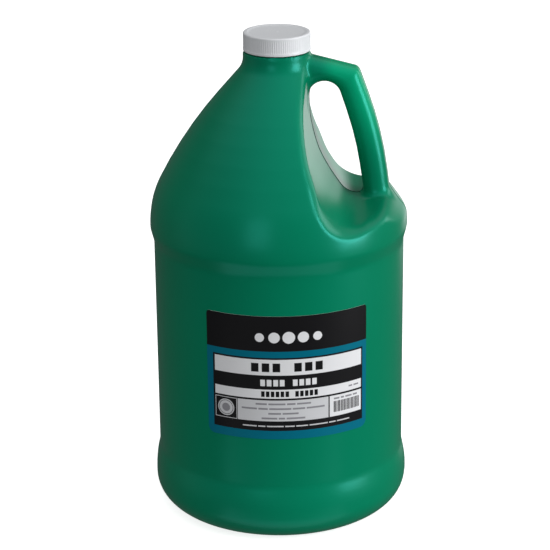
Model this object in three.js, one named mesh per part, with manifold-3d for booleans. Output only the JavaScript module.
// One-gallon handled paint jug: blown jug, screw cap, cap liner, front label and the paint inside.
// Millimetres, +Z up. The origin is the middle of the standing ring. The handle is on the +X side.

import * as THREE from 'three';
import { mergeVertices } from 'three/addons/utils/BufferGeometryUtils.js';
import Module from 'manifold-3d';

const wasm = await Module();
wasm.setup();

// ---- driving dimensions -------------------------------------------------------------------

// Jug body
const WALL = 1.2; // thickness of the blown wall
const PANEL_R = 76; // straight middle panel that carries the label
const BAND_R = 78.5; // base band
const BULGE_R = 78.1; // bulge above the panel
const HEEL_R = 16.7; // rounding between the standing ring and the base band
const RING_OUTER_R = 61.5; // flat ring that the jug stands on
const RING_INNER_R = 53;
const PUSH_UP = 6; // height of the hollow under the base
const PUSH_UP_SLOPE = 9; // radial width of the slope between the ring and the hollow
const BAND_TOP = 26; // base band ends and narrows to the panel
const PANEL_BOTTOM = 36.5;
const PANEL_TOP = 171;
const BULGE_BOTTOM = 179;
const BAND_EDGE_R = 8; // rounding of the band's and the bulge's edges
const NECK_R = 20.15; // just under the cap
const NECK_TOP = 286.7; // ledge where the finish starts
const SHOULDER_TURN = { r: BULGE_R, z: 194.9, fillet: 60 }; // bulge and shoulder lines cross here
const SHOULDER_WAIST = { r: 56.7, z: 236.8, fillet: 259 };
const NECK_FOOT = { r: NECK_R, z: 278.7, fillet: 11 };

// Neck finish: a 38 mm, six threads per inch, shallow screw finish
const FINISH_HEIGHT = 8.4;
const FINISH_TOP = NECK_TOP + FINISH_HEIGHT;
const FINISH_ROOT_R = 17.6;
const BORE_R = 15.5;
const THREAD_PITCH = 25.4 / 6;
const THREAD_CREST_R = 18.75;
const THREAD_FOOT = 2.1; // width at its root
const THREAD_FLAT = 1.0; // width at its crest
const THREAD_START = NECK_TOP + 2.2; // height of the thread's centre line at its start
const RUN_OUT = 0.35; // radians over which a thread's ends taper away

// Hand pocket behind the handle, in the plane y = 0: from the neck down the floor, then out over
// the shelf that the handle's foot stands on
const POCKET_LINE = [
  [21, 282], [19.2, 272], [18.5, 262], [18.5, 257], [20.3, 243.3], [24, 229], [28.2, 219.6],
  [34.4, 209.3], [40.5, 201.5], [46.5, 199], [55, 199.5], [66.8, 201], [75.9, 194.1], [85, 186.4],
];
const FLOOR_DRAFT = 0.06; // slope of the floor away from the plane y = 0, to both sides
const SHELF_DRAFT = 0.1;
const FLOOR_END = 225; // the floor's draft changes to the shelf's between these heights
const SHELF_TOP = 205;

// Handle, outlined in the plane y = 0 as [x, z, fillet], from inside the neck to inside the shoulder
const GRIP_LINE = [
  [4, 284.6], [16.9, 284.6], [48.6, 276.6, 6.2], [62.7, 238, 220], [69.7, 184], [54.4, 184],
  [46.8, 234.6, 200], [35.4, 268.9, 9.9], [18.35, 268.9, 9.9], [18.35, 250], [4, 250],
];
const GRIP_WIDTH = 20; // along y
const GRIP_EDGE_R = 5.8; // rounding of its four long edges

// Screw cap
const CAP_TOP = 298.1;
const CAP_BOTTOM = 287.3;
const CAP_R = 19.85; // skirt between its ribs
const CAP_BAND_R = 20.1; // plain band at the foot of the skirt
const RIB_R = 20.15;
const RIB_COUNT = 60;
const RIB_BOTTOM = CAP_BOTTOM + 1.4;
const RIB_TOP = CAP_TOP - 2.4;
const CAP_BORE_R = 19.1;
const CAP_THREAD_R = 18.05;
const CAP_THREAD_ANGLE = 2.4; // radians from +X to where the cap's thread starts
const CAP_THREAD_FOOT = 1.6;
const CAP_THREAD_FLAT = 0.8;
const CAP_PLATE_TOP = 297.6; // dished top, inside its raised rim
const CAP_PLATE_BOTTOM = 296.5;
const CAP_EDGE_R = 1.8;
const CAP_RIM_WIDTH = 2.4; // raised rim of the top, edge rounding included
const CAP_RIM_SLOPE = 1.2;

// Liner disc
const LINER_R = 18.6;
const LINER_BOTTOM = FINISH_TOP + 0.3;
const LINER_THICKNESS = 0.8;

// Label
const LABEL_WIDTH = 101.6; // around the panel
const LABEL_BOTTOM = 68.9;
const LABEL_HEIGHT = 78;
const LABEL_CORNER = 4;
const LABEL_THICKNESS = 0.25;
const LABEL_AZIMUTH = THREE.MathUtils.degToRad(7); // its middle, from -Y towards the handle

// Paint
const FILL_LEVEL = 240.6;

const GAP = 0.3; // between pieces that touch
const SIDES = 40; // facets round the jug
const REACH = 130; // longer than any stretch that a cutter has to cross

// ---- solids -------------------------------------------------------------------------------

function toSolid(geometry) {
  geometry.deleteAttribute('normal');
  geometry.deleteAttribute('uv');
  const merged = mergeVertices(geometry, 1e-4);
  const triangles = [];
  for (let i = 0; i < merged.index.count; i += 3) {
    const [a, b, c] = [0, 1, 2].map((corner) => merged.index.getX(i + corner));
    if (a !== b && b !== c && c !== a) triangles.push(a, b, c);
  }
  return new wasm.Manifold(new wasm.Mesh({
    numProp: 3,
    vertProperties: Float32Array.from(merged.attributes.position.array),
    triVerts: Uint32Array.from(triangles),
  }));
}

function toMesh(name, solid, finish) {
  const { vertProperties, triVerts } = solid.getMesh();
  const geometry = new THREE.BufferGeometry();
  geometry.setAttribute('position', new THREE.BufferAttribute(vertProperties, 3));
  geometry.setIndex(new THREE.BufferAttribute(triVerts, 1));
  const mesh = new THREE.Mesh(geometry, new THREE.MeshStandardMaterial(finish));
  mesh.name = name;
  return mesh;
}

// A solid of revolution about Z from [r, z] points that run upwards along its outside.
function turned(profile, sides = SIDES) {
  const points = profile.map(([r, z]) => new THREE.Vector2(r, z));
  const geometry = new THREE.LatheGeometry(points, sides);
  geometry.rotateX(Math.PI / 2);
  return toSolid(geometry);
}

// A cutter with one outline in the XZ plane, extruded across the part along Y. It cuts deeper
// towards both sides, so what it leaves has a ridge on the plane y = 0.
function drafted(outline) {
  const shape = new THREE.Shape(outline.map(([x, z]) => new THREE.Vector2(x, z)));
  const geometry = new THREE.ExtrudeGeometry(shape, { depth: 2 * REACH, steps: 2, bevelEnabled: false });
  geometry.rotateX(Math.PI / 2);
  geometry.translate(0, REACH, 0);
  const position = geometry.attributes.position;
  for (let i = 0; i < position.count; i += 1) {
    const side = Math.abs(position.getY(i));
    const low = THREE.MathUtils.smoothstep(-position.getZ(i), -FLOOR_END, -SHELF_TOP);
    position.setX(i, position.getX(i) - (1 - low) * FLOOR_DRAFT * side);
    position.setZ(i, position.getZ(i) - low * SHELF_DRAFT * side);
  }
  return toSolid(geometry);
}

// Replaces each corner [r, z, fillet] by the arc that rounds it.
function rounded(corners, stepAngle = Math.PI / 10) {
  const points = [];
  corners.forEach(([r, z, fillet = 0], i) => {
    const here = new THREE.Vector2(r, z);
    if (fillet === 0) {
      points.push([r, z]);
      return;
    }
    const back = new THREE.Vector2(corners[i - 1][0], corners[i - 1][1]).sub(here).normalize();
    const ahead = new THREE.Vector2(corners[i + 1][0], corners[i + 1][1]).sub(here).normalize();
    const half = Math.acos(back.dot(ahead)) / 2;
    const turn = Math.PI - 2 * half;
    const centre = back.clone().add(ahead).normalize().multiplyScalar(fillet / Math.sin(half)).add(here);
    const from = back.clone().multiplyScalar(fillet / Math.tan(half)).add(here).sub(centre);
    const sense = Math.sign(back.cross(ahead));
    const steps = Math.max(2, Math.round(turn / stepAngle));
    for (let k = 0; k <= steps; k += 1) {
      const spoke = from.clone().rotateAround(new THREE.Vector2(), -sense * turn * (k / steps));
      points.push([centre.x + spoke.x, centre.y + spoke.y]);
    }
  });
  return points;
}

// Moves an open line of points to its left by a distance, keeping its first and last directions.
function shifted(points, distance) {
  const lines = points.map(([x, y]) => new THREE.Vector2(x, y));
  return lines.map((here, i) => {
    const before = lines[Math.max(i - 1, 0)];
    const after = lines[Math.min(i + 1, lines.length - 1)];
    const inward = here.clone().sub(before);
    const outward = after.clone().sub(here);
    const first = (inward.length() > 0 ? inward : outward).clone().normalize();
    const second = (outward.length() > 0 ? outward : inward).clone().normalize();
    const along = first.clone().add(second).normalize();
    const miter = distance / Math.max(along.dot(first), 0.5);
    return [here.x - along.y * miter, here.y + along.x * miter];
  });
}

// A screw thread: a trapezoid swept round a wall and tapered away at both ends.
function thread({ wallR, crestR, turns, start, startAngle, footWidth, crestWidth }) {
  const sink = crestR > wallR ? -GAP : GAP; // how far the foot is buried in the wall
  const section = new THREE.Shape([
    new THREE.Vector2(-footWidth / 2, wallR + sink),
    new THREE.Vector2(-crestWidth / 2, crestR),
    new THREE.Vector2(crestWidth / 2, crestR),
    new THREE.Vector2(footWidth / 2, wallR + sink),
  ]);
  const sweep = turns * 2 * Math.PI;
  const steps = Math.round(turns * SIDES);
  const geometry = new THREE.ExtrudeGeometry(section, { depth: sweep, steps, bevelEnabled: false });
  const position = geometry.attributes.position;
  const endR = wallR + sink / 2; // the ends taper to here, inside the wall
  for (let i = 0; i < position.count; i += 1) {
    const along = position.getZ(i);
    const angle = startAngle + along;
    const full = Math.min(1, along / RUN_OUT, (sweep - along) / RUN_OUT);
    const r = endR + (position.getY(i) - endR) * Math.max(full, 0.02);
    const z = start + THREAD_PITCH * (angle / (2 * Math.PI)) + position.getX(i);
    position.setXYZ(i, r * Math.cos(angle), r * Math.sin(angle), z);
  }
  return toSolid(geometry);
}

// ---- jug ----------------------------------------------------------------------------------

// The outside of the jug below its finish, from the middle of the base up to the neck.
function jugOutline() {
  return rounded([
    [0, PUSH_UP],
    [RING_INNER_R - PUSH_UP_SLOPE, PUSH_UP, PUSH_UP],
    [RING_INNER_R, 0],
    [RING_OUTER_R, 0],
    [BAND_R, 0, HEEL_R],
    [BAND_R, BAND_TOP, BAND_EDGE_R],
    [PANEL_R, PANEL_BOTTOM, BAND_EDGE_R],
    [PANEL_R, PANEL_TOP, BAND_EDGE_R],
    [BULGE_R, BULGE_BOTTOM, BAND_EDGE_R],
    [SHOULDER_TURN.r, SHOULDER_TURN.z, SHOULDER_TURN.fillet],
    [SHOULDER_WAIST.r, SHOULDER_WAIST.z, SHOULDER_WAIST.fillet],
    [NECK_FOOT.r, NECK_FOOT.z, NECK_FOOT.fillet],
    [NECK_R, NECK_TOP],
  ]);
}

// The jug's outside without its pocket and handle.
function outerBody() {
  return turned([
    ...jugOutline(), [FINISH_ROOT_R, NECK_TOP], [FINISH_ROOT_R, FINISH_TOP], [0, FINISH_TOP],
  ]);
}

// The same drawn in by a distance, with a bore that runs out through the finish.
function innerBody(inset) {
  const boreR = BORE_R + WALL - inset;
  const top = FINISH_TOP + WALL;
  const wall = shifted(jugOutline(), inset).filter(([, z]) => z < NECK_TOP - 3 * inset);
  return turned([[0, PUSH_UP + inset], ...wall.slice(1), [boreR, NECK_TOP], [boreR, top], [0, top]]);
}

// What the hand pocket cuts away. With an inset it cuts that much deeper.
function pocketCutter(inset) {
  const curve = new THREE.SplineCurve(POCKET_LINE.map(([x, z]) => new THREE.Vector2(x, z)));
  const line = shifted(curve.getPoints(2 * POCKET_LINE.length).map(({ x, y }) => [x, y]), -inset);
  const [, top] = line[0];
  const [, bottom] = line[line.length - 1];
  return drafted([...line, [REACH, bottom], [REACH, top]]);
}

function handleTube(inset) {
  const flat = GRIP_WIDTH - 2 * GRIP_EDGE_R;
  const bevel = GRIP_EDGE_R - inset;
  const shape = new THREE.Shape(rounded(GRIP_LINE).map(([x, z]) => new THREE.Vector2(x, z)));
  const geometry = new THREE.ExtrudeGeometry(shape, {
    depth: flat,
    bevelThickness: bevel,
    bevelSize: bevel,
    bevelOffset: -GRIP_EDGE_R,
    bevelSegments: 3,
  });
  geometry.rotateX(Math.PI / 2);
  geometry.translate(0, flat / 2, 0);
  return toSolid(geometry);
}

function jugBody() {
  const screw = thread({
    wallR: FINISH_ROOT_R,
    crestR: THREAD_CREST_R,
    turns: 1,
    start: THREAD_START,
    startAngle: 0,
    footWidth: THREAD_FOOT,
    crestWidth: THREAD_FLAT,
  });
  const outside = outerBody().subtract(pocketCutter(0)).add(handleTube(0)).add(screw);
  return outside.subtract(jugInside(WALL));
}

// The room inside the jug, all of it at one distance from the outside.
function jugInside(inset) {
  return innerBody(inset).subtract(pocketCutter(inset)).add(handleTube(inset));
}

// ---- paint --------------------------------------------------------------------------------

function paint() {
  const tank = new THREE.BoxGeometry(2 * REACH, 2 * REACH, FILL_LEVEL);
  tank.translate(0, 0, FILL_LEVEL / 2);
  return jugInside(WALL + GAP).intersect(toSolid(tank));
}

// ---- cap and liner ------------------------------------------------------------------------

function ribs() {
  const outline = [];
  const pitch = (2 * Math.PI) / RIB_COUNT;
  const footR = (CAP_R + CAP_BORE_R) / 2; // inside the skirt's wall
  for (let i = 0; i < RIB_COUNT; i += 1) {
    [[0, CAP_R - 0.1], [0.3, RIB_R], [0.6, RIB_R], [0.9, CAP_R - 0.1]].forEach(([part, r]) => {
      outline.push(new THREE.Vector2(r, 0).rotateAround(new THREE.Vector2(), pitch * (i + part)));
    });
  }
  const shape = new THREE.Shape(outline);
  shape.holes.push(new THREE.Path().absarc(0, 0, footR, 0, 2 * Math.PI, true));
  const geometry = new THREE.ExtrudeGeometry(shape, {
    depth: RIB_TOP - RIB_BOTTOM, bevelEnabled: false, curveSegments: SIDES,
  });
  geometry.translate(0, 0, RIB_BOTTOM);
  return toSolid(geometry);
}

function screwCap() {
  const outside = rounded([
    [CAP_BORE_R, CAP_BOTTOM],
    [CAP_BAND_R, CAP_BOTTOM],
    [CAP_BAND_R, RIB_BOTTOM],
    [CAP_R, RIB_BOTTOM + CAP_BAND_R - CAP_R],
    [CAP_R, CAP_TOP, CAP_EDGE_R],
    [CAP_R - CAP_RIM_WIDTH, CAP_TOP],
    [CAP_R - CAP_RIM_WIDTH - CAP_RIM_SLOPE, CAP_PLATE_TOP],
    [0, CAP_PLATE_TOP],
    [0, CAP_PLATE_BOTTOM],
    [CAP_BORE_R, CAP_PLATE_BOTTOM],
    [CAP_BORE_R, CAP_BOTTOM],
  ]);
  const screw = thread({
    wallR: CAP_BORE_R,
    crestR: CAP_THREAD_R,
    turns: 0.95,
    start: THREAD_START - THREAD_PITCH / 2,
    startAngle: CAP_THREAD_ANGLE,
    footWidth: CAP_THREAD_FOOT,
    crestWidth: CAP_THREAD_FLAT,
  });
  return turned(outside).add(ribs()).add(screw);
}

function capLiner() {
  const disc = new THREE.CylinderGeometry(LINER_R, LINER_R, LINER_THICKNESS, SIDES);
  disc.rotateX(Math.PI / 2);
  disc.translate(0, 0, LINER_BOTTOM + LINER_THICKNESS / 2);
  return toSolid(disc);
}

// ---- label --------------------------------------------------------------------------------

function frontLabel() {
  const inside = PANEL_R + GAP;
  const outside = inside + LABEL_THICKNESS;
  const top = LABEL_BOTTOM + LABEL_HEIGHT;
  const ring = turned([
    [inside, LABEL_BOTTOM], [outside, LABEL_BOTTOM], [outside, top], [inside, top],
    [inside, LABEL_BOTTOM],
  ], 2 * SIDES);
  const half = inside * Math.sin(LABEL_WIDTH / inside / 2);
  const stencil = rounded([
    [0, LABEL_BOTTOM - 1e-3],
    [half, LABEL_BOTTOM - 1e-3, LABEL_CORNER],
    [half, top + 1e-3, LABEL_CORNER / 2],
    [-half, top + 1e-3, LABEL_CORNER / 2],
    [-half, LABEL_BOTTOM - 1e-3, LABEL_CORNER],
    [-1, LABEL_BOTTOM - 1e-3],
  ]);
  const shape = new THREE.Shape(stencil.map(([x, z]) => new THREE.Vector2(x, z)));
  const window = new THREE.ExtrudeGeometry(shape, { depth: REACH, bevelEnabled: false });
  window.rotateX(Math.PI / 2);
  window.rotateZ(LABEL_AZIMUTH);
  return ring.intersect(toSolid(window));
}

// ---- assembly -----------------------------------------------------------------------------

const jug = new THREE.Group();
jug.add(
  toMesh('jug_body', jugBody(), { color: 0x00694c, roughness: 0.35, metalness: 0 }),
  toMesh('paint', paint(), { color: 0x00704f, roughness: 0.3, metalness: 0 }),
  toMesh('screw_cap', screwCap(), { color: 0xe6e7e8, roughness: 0.4, metalness: 0 }),
  toMesh('cap_liner', capLiner(), { color: 0xf2f2ef, roughness: 0.8, metalness: 0 }),
  toMesh('front_label', frontLabel(), { color: 0x06222b, roughness: 0.3, metalness: 0 }),
);

export default jug;
